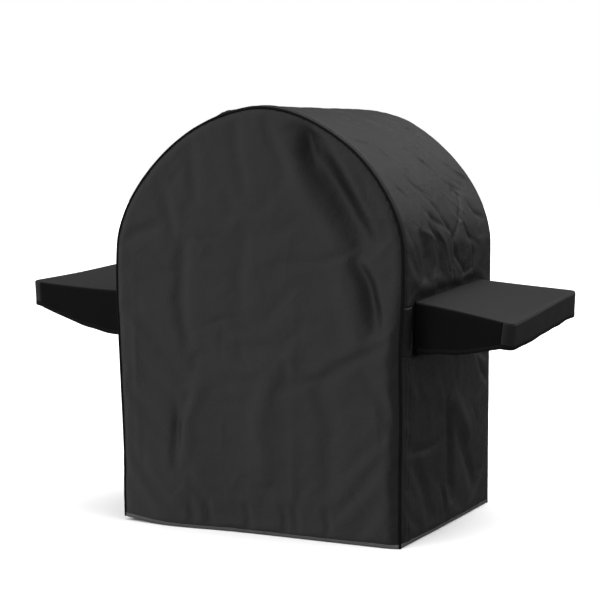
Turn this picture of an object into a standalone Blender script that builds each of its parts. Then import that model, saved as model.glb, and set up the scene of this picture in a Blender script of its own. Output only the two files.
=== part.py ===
"""Grill cover with a barrel top, a boxed pocket for each side shelf and a side flap that opens under each shelf.

Frame: metres, +Z up, origin on the ground at the middle of the footprint. The arched front panel faces -Y
and the shelf pockets, called wings here, stand out to +X and -X. Every cloth piece is modelled as it hangs
on the grill, with its seams drawn as a gap of SEAM_GAP beside a piping cord.
"""

import math

import bmesh
import bpy
from mathutils import Euler, Vector

# ---- Body of the cover
BODY_WIDTH = 0.93
BODY_DEPTH = 0.74
HEIGHT = 1.28
SPRING_HEIGHT = 0.858  # where the straight sides end and the arch begins
ARCH_FULLNESS = 1.81  # exponent of the arch: 2 is an ellipse, and less has flatter shoulders
ARCH_STEPS = 40

# ---- Cloth, cords and tapes
CLOTH = 0.0006
SEAM_GAP = 0.0003
PIPING_RADIUS = 0.0040
WING_PIPING_RADIUS = 0.0025
HEM_TAPE = 0.0006
HEM_HEIGHT = 0.012
HEM_LIFT = 0.0010  # the corner pipings stop this far above the ground
FLAP_LIFT = 0.0020  # the side flaps hang this far above the ground
SEAM_TAPE = 0.0005
SEAM_TAPE_WIDTH = 0.022

# ---- Wings, the pockets for the side shelves
WING_LENGTH = 0.350
WING_FRONT = 0.290  # from the middle of the cover forwards
WING_REAR = 0.275  # from the middle of the cover backwards
WING_TOP_HEIGHT = 0.728
WING_ROOT_DROP = 0.147  # depth of the skirts where they meet the body
WING_TIP_DROP = 0.065  # depth of the skirts at the outer end
WING_CORNER = 0.035
WING_CORNER_STEPS = 6
WING_PIPING_CORNER = 0.014
WING_TILT = math.radians(3.0)  # the front edge hangs lower than the rear edge
RIGHT_WING_DROOP = math.radians(4.5)  # the outer end hangs lower than the root
LEFT_WING_DROOP = math.radians(0.5)
WING_HEM_HEIGHT = 0.014
WING_HEM_TAPE = 0.0006
WING_EDGE_STEPS = 14
WINDOW_LAP = 0.012  # how far the body cloth reaches past the wing's seam into the shelf window

# ---- Side flaps and their closures
FLAP_CLEARANCE = 0.010  # below the wing's lowest edge
FACING_WIDTH = 0.060
CLOSURE_WIDTH = 0.025
CLOSURE_TAPE = 0.0012
CLOSURE_EDGE = 0.015  # from the flap's front edge to the tape
CLOSURE_END = 0.030  # from the tape's ends to the hem and to the flap's top

TUBE_SIDES = 2  # bevel_resolution of a cord, for eight sides

# ---- Places worked out from the sizes above
HALF_WIDTH = BODY_WIDTH / 2
HALF_DEPTH = BODY_DEPTH / 2
SIDE_X = HALF_WIDTH - PIPING_RADIUS  # middle of the side cloth
FACE_Y = HALF_DEPTH - PIPING_RADIUS  # middle of the front and rear cloth
PANEL_INSET = 2 * PIPING_RADIUS + SEAM_GAP
PANEL_BOTTOM = HEM_TAPE + SEAM_GAP
SIDE_Y = HALF_DEPTH - PANEL_INSET  # front and rear edges of the side cloth
WING_PIPING_X = SIDE_X + CLOTH / 2 + SEAM_GAP + WING_PIPING_RADIUS
WING_ROOT_X = WING_PIPING_X + WING_PIPING_RADIUS + SEAM_GAP
WING_ROOT_LOW = WING_TOP_HEIGHT - WING_FRONT * math.sin(WING_TILT)
WING_BOTTOM = WING_ROOT_LOW - WING_ROOT_DROP * math.cos(WING_TILT)
CROWN_END = WING_ROOT_LOW - WINDOW_LAP
FLAP_TOP = WING_BOTTOM - FLAP_CLEARANCE
SIDES = {"right": (1, RIGHT_WING_DROOP), "left": (-1, LEFT_WING_DROOP)}

BLACK_CLOTH = ("black_cloth", (0.020, 0.020, 0.021), 0.62)
BLACK_PIPING = ("black_piping", (0.010, 0.010, 0.011), 0.55)
BLACK_BINDING = ("black_binding", (0.014, 0.014, 0.015), 0.65)
GREY_BINDING = ("grey_binding", (0.330, 0.330, 0.335), 0.60)
HOOK_AND_LOOP = ("hook_and_loop", (0.012, 0.012, 0.012), 0.90)
SEAM_SEAL = ("seam_seal", (0.050, 0.050, 0.052), 0.35)


# ---- Scene helpers


def clear_scene():
    for obj in list(bpy.data.objects):
        bpy.data.objects.remove(obj)


def make_collection(name):
    collection = bpy.data.collections.new(name)
    bpy.context.scene.collection.children.link(collection)
    return collection


def make_material(name, colour, roughness):
    material = bpy.data.materials.get(name)
    if material is None:
        material = bpy.data.materials.new(name)
        material.use_nodes = True
        shader = material.node_tree.nodes["Principled BSDF"]
        shader.inputs["Base Color"].default_value = (*colour, 1)
        shader.inputs["Roughness"].default_value = roughness
        shader.inputs["Metallic"].default_value = 0
    return material


def add_object(name, data, finish, parent=None):
    obj = bpy.data.objects.new(name, data)
    obj.data.materials.append(make_material(*finish))
    obj.parent = parent
    COVER.objects.link(obj)
    return obj


def add_empty(name, location, rotation=(0, 0, 0), parent=None):
    empty = bpy.data.objects.new(name, None)
    empty.location = location
    empty.rotation_euler = Euler(rotation)
    empty.parent = parent
    COVER.objects.link(empty)
    return empty


# ---- Shapes that cloth pieces are made of


def flat_piece(name, outline, thickness, finish, parent=None):
    """A flat piece cut to an outline, as a filled 2D curve. The outline lies in the curve's own XY plane."""
    curve = bpy.data.curves.new(name, "CURVE")
    curve.dimensions = "2D"
    curve.fill_mode = "BOTH"
    curve.extrude = thickness / 2
    spline = curve.splines.new("POLY")
    spline.points.add(len(outline) - 1)
    for point, (x, y) in zip(spline.points, outline):
        point.co = (x, y, 0, 1)
    spline.use_cyclic_u = True
    return add_object(name, curve, finish, parent)


def stand_up(obj, y):
    """Turns a flat piece whose outline was drawn as (x, z) upright, and puts its middle at y."""
    obj.rotation_euler = Euler((math.pi / 2, 0, 0))
    obj.location = (0, y, 0)
    return obj


def block(name, low, high, finish, parent=None):
    """A rectangular piece between two corners, with its object's origin at the parent's."""
    low, high = Vector(low), Vector(high)
    bm = bmesh.new()
    bmesh.ops.create_cube(bm, size=1)
    bmesh.ops.scale(bm, vec=high - low, verts=bm.verts)
    bmesh.ops.translate(bm, vec=(low + high) / 2, verts=bm.verts)
    mesh = bpy.data.meshes.new(name)
    bm.to_mesh(mesh)
    bm.free()
    return add_object(name, mesh, finish, parent)


def ribbon(name, path, sweep, thickness, finish, parent=None):
    """A strip of cloth: a line of points swept along one direction, then given its thickness on both sides."""
    bm = bmesh.new()
    verts = [bm.verts.new(point) for point in path]
    edges = [bm.edges.new(pair) for pair in zip(verts, verts[1:])]
    swept = bmesh.ops.extrude_edge_only(bm, edges=edges)["geom"]
    moved = [item for item in swept if isinstance(item, bmesh.types.BMVert)]
    bmesh.ops.translate(bm, vec=sweep, verts=moved)
    mesh = bpy.data.meshes.new(name)
    bm.to_mesh(mesh)
    bm.free()
    obj = add_object(name, mesh, finish, parent)
    solidify = obj.modifiers.new("thickness", "SOLIDIFY")
    solidify.thickness = thickness
    solidify.offset = 0
    solidify.use_even_offset = True
    return obj


def cord(name, path, radius, finish, parent=None):
    curve = bpy.data.curves.new(name, "CURVE")
    curve.dimensions = "3D"
    curve.bevel_depth = radius
    curve.bevel_resolution = TUBE_SIDES
    curve.use_fill_caps = True
    spline = curve.splines.new("POLY")
    spline.points.add(len(path) - 1)
    for point, co in zip(spline.points, path):
        point.co = (*co, 1)
    return add_object(name, curve, finish, parent)


def binding(name, length, finish, parent=None):
    """A tape folded over a cloth edge: a U section that stands on its fold, drawn in XY and extruded along Z."""
    outer = CLOTH / 2 + SEAM_GAP + HEM_TAPE
    inner = CLOTH / 2 + SEAM_GAP
    outline = [
        (-outer, 0),
        (outer, 0),
        (outer, HEM_HEIGHT),
        (inner, HEM_HEIGHT),
        (inner, HEM_TAPE),
        (-inner, HEM_TAPE),
        (-inner, HEM_HEIGHT),
        (-outer, HEM_HEIGHT),
    ]
    return flat_piece(name, outline, length, finish, parent)


# ---- Outlines


def arch(inset):
    """Points (x, z) of the half superellipse over the body, right to left, inset along its normal."""
    rise = HEIGHT - SPRING_HEIGHT
    reach = 2 / ARCH_FULLNESS
    points = []
    for step in range(ARCH_STEPS + 1):
        angle = math.pi * step / ARCH_STEPS
        side = math.copysign(1, math.cos(angle))
        across, up = abs(math.cos(angle)), abs(math.sin(angle))
        normal = Vector((side * across ** (2 - reach) / HALF_WIDTH, up ** (2 - reach) / rise)).normalized()
        x = side * HALF_WIDTH * across**reach - inset * normal.x
        z = SPRING_HEIGHT + rise * up**reach - inset * normal.y
        points.append((x, z))
    return points


def over_the_top(inset, foot):
    """The same line with a straight leg down to foot at each end."""
    side = HALF_WIDTH - inset
    return [(side, foot), *arch(inset), (-side, foot)]


def arc(centre, radius, start, end, steps):
    """Points of an arc in a plane, from the angle start to the angle end."""
    turns = [start + (end - start) * step / steps for step in range(steps + 1)]
    return [(centre[0] + radius * math.cos(a), centre[1] + radius * math.sin(a)) for a in turns]


def wing_drop(x):
    """Depth of the wing's skirts at the distance x from its root: deep at the body, shallow at the tip."""
    along = min(max(x / WING_LENGTH, 0), 1)
    return WING_TIP_DROP + (WING_ROOT_DROP - WING_TIP_DROP) * math.cos(along * math.pi / 2)


# ---- The body of the cover


def make_end_panels():
    """The arched front and rear panels, their corner pipings and the tape bound over their hems."""
    outline = over_the_top(PANEL_INSET, PANEL_BOTTOM)
    hem_length = 2 * (HALF_WIDTH - PANEL_INSET)
    for end, facing in (("front", -1), ("rear", 1)):
        y = facing * FACE_Y
        stand_up(flat_piece(f"{end}_panel", outline, CLOTH, BLACK_CLOTH), y)
        path = [(x, y, z) for x, z in over_the_top(PIPING_RADIUS, HEM_LIFT)]
        cord(f"{end}_piping", path, PIPING_RADIUS, BLACK_PIPING)
        hem = binding(f"{end}_hem_binding", hem_length, GREY_BINDING)
        hem.rotation_euler = Euler((math.pi / 2, 0, math.pi / 2))
        hem.location = (0, y, 0)


def make_crown():
    """The strip that runs over the top from one wing to the other, and the tapes that seal its two seams."""
    line = over_the_top(PIPING_RADIUS, CROWN_END)
    path = [(x, -SIDE_Y, z) for x, z in line]
    ribbon("crown_panel", path, (0, 2 * SIDE_Y, 0), CLOTH, BLACK_CLOTH)
    inset = PIPING_RADIUS + CLOTH / 2 + SEAM_GAP + SEAM_TAPE / 2
    line = over_the_top(inset, CROWN_END)
    for end, start in (("front", -SIDE_Y), ("rear", SIDE_Y - SEAM_TAPE_WIDTH)):
        path = [(x, start, z) for x, z in line]
        ribbon(f"{end}_seam_tape", path, (0, SEAM_TAPE_WIDTH, 0), SEAM_TAPE, SEAM_SEAL)


def make_cheeks(side, sign):
    """The two strips of side cloth beside the shelf window, in front of the wing and behind it."""
    spans = {
        "front": (-SIDE_Y, WINDOW_LAP - WING_FRONT),
        "rear": (WING_REAR - WINDOW_LAP, SIDE_Y),
    }
    for end, (start, stop) in spans.items():
        low = (sign * SIDE_X - CLOTH / 2, start, FLAP_TOP + SEAM_GAP)
        high = (sign * SIDE_X + CLOTH / 2, stop, CROWN_END - SEAM_GAP)
        block(f"{side}_{end}_cheek", low, high, BLACK_CLOTH)


# ---- The wings


def around_the_tip(inset):
    """Plan points (x, y) round the wing's outer end, front to rear, at a distance inside its outline."""
    radius = WING_CORNER - inset
    centre_x = WING_LENGTH - WING_CORNER
    front = arc((centre_x, WING_CORNER - WING_FRONT), radius, -math.pi / 2, 0, WING_CORNER_STEPS)
    rear = arc((centre_x, WING_REAR - WING_CORNER), radius, 0, math.pi / 2, WING_CORNER_STEPS)
    return [*front, *rear]


def make_wing_top(side, sign, root):
    """The top lies within the skirts, which are sewn to its edge all round."""
    margin = CLOTH + SEAM_GAP
    outline = [(0, WING_REAR - margin), (0, margin - WING_FRONT), *around_the_tip(margin)]
    mirrored = [(sign * x, y) for x, y in outline]
    flat_piece(f"{side}_wing_top", mirrored, CLOTH, BLACK_CLOTH, root)


def make_wing_side_skirts(side, sign, droop, root):
    """The front and rear skirts. Their root edge is cut on a slant, so that it hangs plumb from the drooping top."""
    top = CLOTH / 2
    reach = WING_LENGTH - WING_CORNER
    steps = [reach * step / WING_EDGE_STEPS for step in range(WING_EDGE_STEPS, 0, -1)]
    slant = WING_ROOT_DROP * math.tan(droop)
    lower = [(x, -wing_drop(x)) for x in steps if x > slant]
    outline = [(0, top), (reach, top), *lower, (slant, -WING_ROOT_DROP)]
    mirrored = [(sign * x, z) for x, z in outline]
    for end, y in (("front", CLOTH / 2 - WING_FRONT), ("rear", WING_REAR - CLOTH / 2)):
        skirt = flat_piece(f"{side}_wing_{end}_skirt", mirrored, CLOTH, BLACK_CLOTH, root)
        stand_up(skirt, y)


def make_wing_end_skirt(side, sign, root):
    line = around_the_tip(CLOTH / 2)
    line[0] = (line[0][0] + SEAM_GAP, line[0][1])
    line[-1] = (line[-1][0] + SEAM_GAP, line[-1][1])
    depth = wing_drop(WING_LENGTH - WING_CORNER)
    path = [(sign * x, y, -depth) for x, y in line]
    ribbon(f"{side}_wing_end_skirt", path, (0, 0, depth + CLOTH / 2), CLOTH, BLACK_CLOTH, root)


def make_wing_hem(side, sign, droop, root):
    """The tape sewn round the outside of all three skirts, level with their lower edge."""
    outset = SEAM_GAP + WING_HEM_TAPE / 2
    slant = WING_ROOT_DROP * math.tan(droop)
    reach = WING_LENGTH - WING_CORNER
    steps = [slant + (reach - slant) * step / WING_EDGE_STEPS for step in range(WING_EDGE_STEPS)]
    front_y = -WING_FRONT - outset
    rear_y = WING_REAR + outset
    line = [(x, front_y) for x in steps]
    line += around_the_tip(-outset)
    line += [(x, rear_y) for x in reversed(steps)]
    path = [(sign * x, y, -wing_drop(min(x, reach))) for x, y in line]
    ribbon(f"{side}_wing_hem_tape", path, (0, 0, WING_HEM_HEIGHT), WING_HEM_TAPE, BLACK_BINDING, root)


def make_wing_piping(side, seam):
    """The cord in the seam between wing and body: up the front skirt, along the top, down the rear skirt."""
    front, rear = CLOTH / 2 - WING_FRONT, WING_REAR - CLOTH / 2
    bend = WING_PIPING_CORNER
    line = [
        (front, -WING_ROOT_DROP),
        *arc((front + bend, -bend), bend, math.pi, math.pi / 2, WING_CORNER_STEPS),
        *arc((rear - bend, -bend), bend, math.pi / 2, 0, WING_CORNER_STEPS),
        (rear, -WING_ROOT_DROP),
    ]
    path = [(0, y, z) for y, z in line]
    cord(f"{side}_wing_piping", path, WING_PIPING_RADIUS, BLACK_PIPING, seam)


def make_wing(side, sign, droop):
    """A wing is drawn level, out from its seam. One empty tilts the seam and the next one lets the wing droop."""
    seam = add_empty(f"{side}_wing_seam", (sign * WING_PIPING_X, 0, WING_TOP_HEIGHT), (WING_TILT, 0, 0))
    out = sign * (WING_ROOT_X - WING_PIPING_X)
    root = add_empty(f"{side}_wing_root", (out, 0, 0), (0, sign * droop, 0), seam)
    make_wing_top(side, sign, root)
    make_wing_side_skirts(side, sign, droop, root)
    make_wing_end_skirt(side, sign, root)
    make_wing_hem(side, sign, droop, root)
    make_wing_piping(side, seam)


# ---- The side flaps


def make_flap(side, sign):
    """The side panel under the wing. It hinges on the seam at the rear piping, which is where its empty stands."""
    hinge = add_empty(f"{side}_flap_hinge", (sign * SIDE_X, FACE_Y, 0))
    rear = SIDE_Y - FACE_Y
    front = -SIDE_Y - FACE_Y
    low = (-CLOTH / 2, front, FLAP_LIFT + PANEL_BOTTOM)
    high = (CLOTH / 2, rear, FLAP_TOP)
    block(f"{side}_side_flap", low, high, BLACK_CLOTH, hinge)
    hem = binding(f"{side}_flap_hem_binding", rear - front, GREY_BINDING, hinge)
    hem.rotation_euler = Euler((math.pi / 2, 0, 0))
    hem.location = (0, (front + rear) / 2, FLAP_LIFT)
    face = -sign * (CLOTH / 2 + SEAM_GAP)
    make_tape(f"{side}_hook_tape", face, -sign * CLOSURE_TAPE, front + CLOSURE_EDGE, hinge)


def make_tape(name, x, depth, front, parent=None):
    """An upright closure tape, from x inwards by depth and from front backwards by its width."""
    bottom = FLAP_LIFT + CLOSURE_END
    low = (min(x, x + depth), front, bottom)
    high = (max(x, x + depth), front + CLOSURE_WIDTH, FLAP_TOP - CLOSURE_END)
    block(name, low, high, HOOK_AND_LOOP, parent)


def make_closure(side, sign):
    """What the flap closes onto: a strip sewn in behind the front corner, with the loop tape on its outside."""
    loop_x = sign * (SIDE_X - CLOTH / 2 - 2 * SEAM_GAP - CLOSURE_TAPE)
    make_tape(f"{side}_loop_tape", loop_x, -sign * CLOSURE_TAPE, CLOSURE_EDGE - SIDE_Y)
    outer = loop_x - sign * (CLOSURE_TAPE + SEAM_GAP)
    inner = outer - sign * CLOTH
    low = (min(outer, inner), -SIDE_Y, FLAP_LIFT)
    high = (max(outer, inner), FACING_WIDTH - SIDE_Y, FLAP_TOP)
    block(f"{side}_flap_facing", low, high, BLACK_CLOTH)


clear_scene()
COVER = make_collection("grill_cover")
make_end_panels()
make_crown()
for side_name, (side_sign, wing_droop) in SIDES.items():
    make_cheeks(side_name, side_sign)
    make_wing(side_name, side_sign, wing_droop)
    make_flap(side_name, side_sign)
    make_closure(side_name, side_sign)
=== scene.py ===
# %% [markdown]
# # A fitted cover for a grill on a cart
#
# The cover is sewn from black coated polyester: an arched panel at the front and at the rear, a wide strip that
# runs over the top, a wing for each side shelf, and under each wing a flap that opens like a door.
# The CAD part gives the frame: every size below is read from it, and every new piece takes the place of CAD nodes.

# %% Load the frame
import math

import bmesh
import bpy
import numpy as np
from mathutils import Euler, Matrix, Vector, noise
from mathutils.kdtree import KDTree


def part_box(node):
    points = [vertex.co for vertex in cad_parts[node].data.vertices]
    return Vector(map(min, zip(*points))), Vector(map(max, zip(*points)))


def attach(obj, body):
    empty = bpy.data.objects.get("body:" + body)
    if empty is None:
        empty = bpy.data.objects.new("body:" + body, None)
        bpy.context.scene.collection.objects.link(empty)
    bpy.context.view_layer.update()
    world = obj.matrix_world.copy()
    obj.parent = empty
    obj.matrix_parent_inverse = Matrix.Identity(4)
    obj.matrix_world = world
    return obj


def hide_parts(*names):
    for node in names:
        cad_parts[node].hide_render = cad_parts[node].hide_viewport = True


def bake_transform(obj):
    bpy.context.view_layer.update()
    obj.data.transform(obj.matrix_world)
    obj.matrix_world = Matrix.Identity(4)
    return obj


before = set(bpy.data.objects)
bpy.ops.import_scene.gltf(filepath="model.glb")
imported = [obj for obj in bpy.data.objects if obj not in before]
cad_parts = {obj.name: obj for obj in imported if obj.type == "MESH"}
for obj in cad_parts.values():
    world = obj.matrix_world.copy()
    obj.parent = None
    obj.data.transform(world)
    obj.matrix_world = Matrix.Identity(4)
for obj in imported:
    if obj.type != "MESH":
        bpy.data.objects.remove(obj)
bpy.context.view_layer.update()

# %% [markdown]
# Cloth parts meet where their CAD nodes meet, so the seam lines are worked out from the nodes' boxes.
# Two numbers can't be read from a box: the height at which the straight sides turn into the arch,
# and the fullness of the arch, which is a superellipse (2 would be a plain ellipse, 1.81 has softer shoulders).

# %% Sizes of the body
piping_low, piping_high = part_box("front_piping")
flap_low, flap_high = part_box("right_side_flap")
HALF_WIDTH = piping_high.x
HALF_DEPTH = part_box("rear_piping")[1].y
TOP = piping_high.z
CORD = (piping_high.y - piping_low.y) / 2
SIDE_X = HALF_WIDTH - CORD
FACE_Y = HALF_DEPTH - CORD
FLAP_TOP = flap_high.z
CROWN_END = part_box("crown_panel")[0].z
WINDOW_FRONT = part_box("right_front_cheek")[1].y
WINDOW_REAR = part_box("right_rear_cheek")[0].y
HEM_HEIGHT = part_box("front_hem_binding")[1].z
HEM_LIFT = 0.001
SPRING = 0.858
FULLNESS = 1.81
CLOTH = 0.0012
print("body", HALF_WIDTH * 2, "x", HALF_DEPTH * 2, "x", TOP, "cord radius", CORD)

# %% [markdown]
# A camera that stands a little over five metres off, turned 26 degrees round the right side and dipped 5 degrees,
# gives the calm perspective of a catalogue picture. The standard view transform keeps the white floor white.

# %% Camera
camera_data = bpy.data.cameras.new("camera")
camera_data.lens = 99.6
camera_data.sensor_width = 36
camera = bpy.data.objects.new("camera", camera_data)
camera.location = (2.282, -4.726, 1.138)
camera.rotation_euler = (math.radians(90 - 5.0), 0, math.radians(26.18))
bpy.context.scene.collection.objects.link(camera)
bpy.context.scene.camera = camera
bpy.context.scene.view_settings.view_transform = "Standard"


# %% [markdown]
# ## How the cover hangs
# A drawn pattern is straight, but a cover on a grill is not: it is pushed out by the shelf brackets, drawn in
# below them, and its seams wander by a few millimetres. One function says where a point of the tidy pattern
# ends up. Every seam goes through it, so pieces that share a seam still meet after they are moved.

# %% Smooth steps and slow noise
def ramp(value, start, end):
    """0 before start, 1 after end, smooth between them."""
    t = np.clip((np.asarray(value, float) - start) / (end - start), 0, 1)
    return t * t * (3 - 2 * t)


def bump(value, low, peak, high):
    """0 at low and high, 1 at the peak."""
    return ramp(value, low, peak) * (1 - ramp(value, peak, high))


def slow_noise(points, per_metre, seed):
    """Three channels of smooth noise from -1 to 1, with about per_metre features in a metre."""
    offset = Vector((seed * 13.7, seed * 5.1, seed * 9.3))
    return np.array([noise.noise_vector(Vector(p) * per_metre + offset) for p in points]).reshape(-1, 3)


# %% Where a point of the pattern hangs
LEFT_LEAN = 0.022
RIGHT_LEAN = 0.006
CORNER_SET_BACK = 0.020
CORNER_ROLL = 0.050
HEM_SAG = 0.011
HEM_BILLOW = 0.020
REAR_CREST = 0.010
SEAM_WANDER = 0.0035


def hang(points):
    p = np.array(points, float).reshape(-1, 3)
    x, y, z = p.T
    left, right = ramp(-x / HALF_WIDTH, 0, 1), ramp(x / HALF_WIDTH, 0, 1)
    front, rear = ramp(-y / HALF_DEPTH, 0, 1), ramp(y / HALF_DEPTH, 0, 1)
    out = p.copy()
    out[:, 0] -= left * (LEFT_LEAN * front + 0.004) * bump(z, 0.0, 0.80, 1.24)
    out[:, 0] -= left * front * LEFT_LEAN / 4 * (1 - ramp(z, 0.8, 1.2))
    out[:, 2] += REAR_CREST * rear * np.exp(-(((x - 0.17) / 0.13) ** 2)) * ramp(z, 1.05, 1.25)
    out[:, 0] += right * RIGHT_LEAN * front * bump(z, 0.45, 0.80, 1.2)
    rolled = ramp(x, HALF_WIDTH - CORNER_ROLL, HALF_WIDTH)
    low_corner = rolled * front * (1 - ramp(z, 0.52, 0.78)) * (0.35 + 0.65 * ramp(z, 0.0, 0.25))
    out[:, 1] += CORNER_SET_BACK * low_corner
    out[:, 0] -= CORNER_SET_BACK / 2 * low_corner
    corner = np.exp(-(((x + HALF_WIDTH) / 0.10) ** 2 + ((y + HALF_DEPTH) / 0.15) ** 2))
    out[:, 2] += HEM_SAG * corner * (1 - ramp(z, 0.0, 0.5))
    billow = np.exp(-(((x + 0.29) / 0.15) ** 2)) * (1 - ramp(z, 0.0, 0.45))
    out[:, 1] -= HEM_BILLOW * billow * ramp(-y, 0.9 * FACE_Y, FACE_Y)
    wander = slow_noise(p, 4.5, 1)
    loose = 1 - rear * (1 - ramp(z, FLAP_TOP, FLAP_TOP + 0.1))
    foot = ramp(z, 0, 0.1)
    out[:, 0] += SEAM_WANDER * wander[:, 0] * loose * foot
    out[:, 1] += SEAM_WANDER * wander[:, 1] * loose * foot
    out[:, 2] += SEAM_WANDER * wander[:, 2] * ramp(z, 0.9, 1.1)
    return out


print("left front corner at shelf height moves by", (hang([(-SIDE_X, -FACE_Y, 0.8)])[0] - (-SIDE_X, -FACE_Y, 0.8)).round(4))


# %% [markdown]
# The seam between an arched panel and the strip runs up one side, over the arch and down the other side.
# The same line, moved inwards by a few millimetres, is the edge of the cloth, the path of the piping and the
# middle of the seam tape.

# %% The line over the top
def arch_point(angle, inset):
    """(x, z) on the arch, moved inwards along its normal by inset."""
    reach = 2 / FULLNESS
    side = math.copysign(1, math.cos(angle))
    across, up = abs(math.cos(angle)), abs(math.sin(angle))
    normal = Vector((side * across ** (2 - reach) / HALF_WIDTH, up ** (2 - reach) / (TOP - SPRING))).normalized()
    x = side * HALF_WIDTH * across**reach - inset * normal.x
    z = SPRING + (TOP - SPRING) * up**reach - inset * normal.y
    return x, z


def over_the_top(inset, foot, spacing):
    """Evenly spaced points (x, z) from the right foot over the arch to the left foot."""
    fine = [(HALF_WIDTH - inset, foot)]
    fine += [arch_point(math.pi * step / 400, inset) for step in range(401)]
    fine.append((inset - HALF_WIDTH, foot))
    fine = np.array(fine)
    lengths = np.r_[0, np.cumsum(np.linalg.norm(np.diff(fine, axis=0), axis=1))]
    at = np.linspace(0, lengths[-1], max(2, round(lengths[-1] / spacing)) + 1)
    return np.c_[np.interp(at, lengths, fine[:, 0]), np.interp(at, lengths, fine[:, 1])]


seam_line = over_the_top(CORD, HEM_LIFT, 0.01)
print("seam over the top", round(float(np.linalg.norm(np.diff(seam_line, axis=0), axis=1).sum()), 3), "m")

# %% [markdown]
# ## Cutting the cloth
# Cloth folds well where its mesh is an even grid of near-square faces. The arched panels start as a rectangular
# grid: the faces outside the arch are cut away, the stepped rim is drawn onto the arch, and the rows next to it
# are relaxed. The flat cut is kept as a UV map in metres, so the weave follows the cloth when it folds.

# %% Grid spacing and mesh helpers
WEFT = 0.012
TUCK = 0.7 * CORD


def points_of(obj):
    """The vertices of a mesh object as rows of x, y and z."""
    flat = np.empty(len(obj.data.vertices) * 3)
    obj.data.vertices.foreach_get("co", flat)
    return flat.reshape(-1, 3)


def set_points(obj, points):
    obj.data.vertices.foreach_set("co", np.asarray(points, np.float32).ravel())
    obj.data.update()


def normals_of(obj):
    flat = np.empty(len(obj.data.vertices) * 3)
    obj.data.vertices.foreach_get("normal", flat)
    return flat.reshape(-1, 3)


def object_from(bm, name, cut=None):
    """Turns a bmesh into an object. cut gives each vertex's place in the flat pattern, in metres."""
    if cut is not None:
        layer = bm.loops.layers.uv.new("cut")
        for face in bm.faces:
            for loop in face.loops:
                loop[layer].uv = cut[loop.vert.index]
    for face in bm.faces:
        face.smooth = True
    mesh = bpy.data.meshes.new(name)
    bm.to_mesh(mesh)
    bm.free()
    obj = bpy.data.objects.new(name, mesh)
    bpy.context.scene.collection.objects.link(obj)
    return obj


def corners_in_cut(obj):
    """The flat place of every face corner, and the corner at which each face starts."""
    places = np.empty(len(obj.data.loops) * 2)
    obj.data.uv_layers["cut"].data.foreach_get("uv", places)
    starts = np.empty(len(obj.data.polygons), int)
    obj.data.polygons.foreach_get("loop_start", starts)
    return places.reshape(-1, 2), starts


def cut_of(obj):
    """Each vertex's place in the flat pattern."""
    corners, _ = corners_in_cut(obj)
    owners = np.empty(len(obj.data.loops), int)
    obj.data.loops.foreach_get("vertex_index", owners)
    places = np.zeros((len(obj.data.vertices), 2))
    places[owners] = corners
    return places


def face_outwards(bm, direction):
    """Turns the faces so that the one that lies furthest along direction faces along it."""
    bmesh.ops.recalc_face_normals(bm, faces=bm.faces)
    furthest = max(bm.faces, key=lambda face: face.calc_center_median().dot(direction))
    if furthest.normal.dot(direction) < 0:
        bmesh.ops.reverse_faces(bm, faces=bm.faces)


# %% Cut an arched panel
def inside_arch(x, z, inset):
    if z <= SPRING:
        return True
    across = abs(x) / (HALF_WIDTH - inset)
    up = (z - SPRING) / (TOP - SPRING - inset)
    return across**FULLNESS + up**FULLNESS < 1


def cut_arched_panel(name, facing):
    inset = 2 * CORD - TUCK
    outline = over_the_top(inset, HEM_LIFT, 0.003)
    half, height = HALF_WIDTH - inset, TOP - inset - HEM_LIFT
    bm = bmesh.new()
    bmesh.ops.create_grid(bm, x_segments=round(2 * half / WEFT), y_segments=round(height / WEFT), size=0.5)
    bmesh.ops.translate(bm, verts=bm.verts, vec=(0, 0.5, 0))
    bmesh.ops.scale(bm, verts=bm.verts, vec=(2 * half, height, 1))
    bmesh.ops.translate(bm, verts=bm.verts, vec=(0, HEM_LIFT, 0))
    waste = [face for face in bm.faces if not inside_arch(*face.calc_center_median().xy, inset)]
    bmesh.ops.delete(bm, geom=waste, context="FACES")
    tree = KDTree(len(outline))
    for index, (x, z) in enumerate(outline):
        tree.insert((x, z, 0), index)
    tree.balance()
    high = [v for v in bm.verts if v.co.y > SPRING - 3 * WEFT]
    for vert in (v for v in high if v.is_boundary):
        vert.co = tree.find(vert.co)[0]
    bmesh.ops.remove_doubles(bm, verts=bm.verts, dist=0.003)
    relaxed = [v for v in bm.verts if v.co.y > SPRING - 3 * WEFT and not v.is_boundary]
    relaxed = [v for v in relaxed if tree.find(v.co)[2] < 3 * WEFT]
    for _ in range(12):
        bmesh.ops.smooth_vert(bm, verts=relaxed, factor=0.5, use_axis_x=True, use_axis_y=True)
    bm.verts.index_update()
    cut = [tuple(v.co.xy) for v in bm.verts]
    bmesh.ops.rotate(bm, verts=bm.verts, matrix=Matrix.Rotation(math.pi / 2, 3, "X"))
    bmesh.ops.translate(bm, verts=bm.verts, vec=(0, facing * FACE_Y, 0))
    face_outwards(bm, Vector((0, facing, 0)))
    for face in bm.faces:
        if face.normal.y * facing < 0:
            face.normal_flip()
    return object_from(bm, name, cut)


front_panel = cut_arched_panel("front_panel_cloth", -1)
rear_panel = cut_arched_panel("rear_panel_cloth", 1)
print("arched panel", len(front_panel.data.polygons), "faces of", WEFT * 1000, "mm")

# %% [markdown]
# The strip is one long grid, from the right hem over the top to the left hem. It has a row of vertices on every
# line where it is cut into crown, cheeks and flaps later, so those pieces can fold as one cloth and still part
# cleanly. Behind each wing a window is left open for the shelf.

# %% Cut the strip over the top
def rows_between(low, high):
    return np.linspace(low, high, round((high - low) / WEFT) + 1)[:-1]


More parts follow.
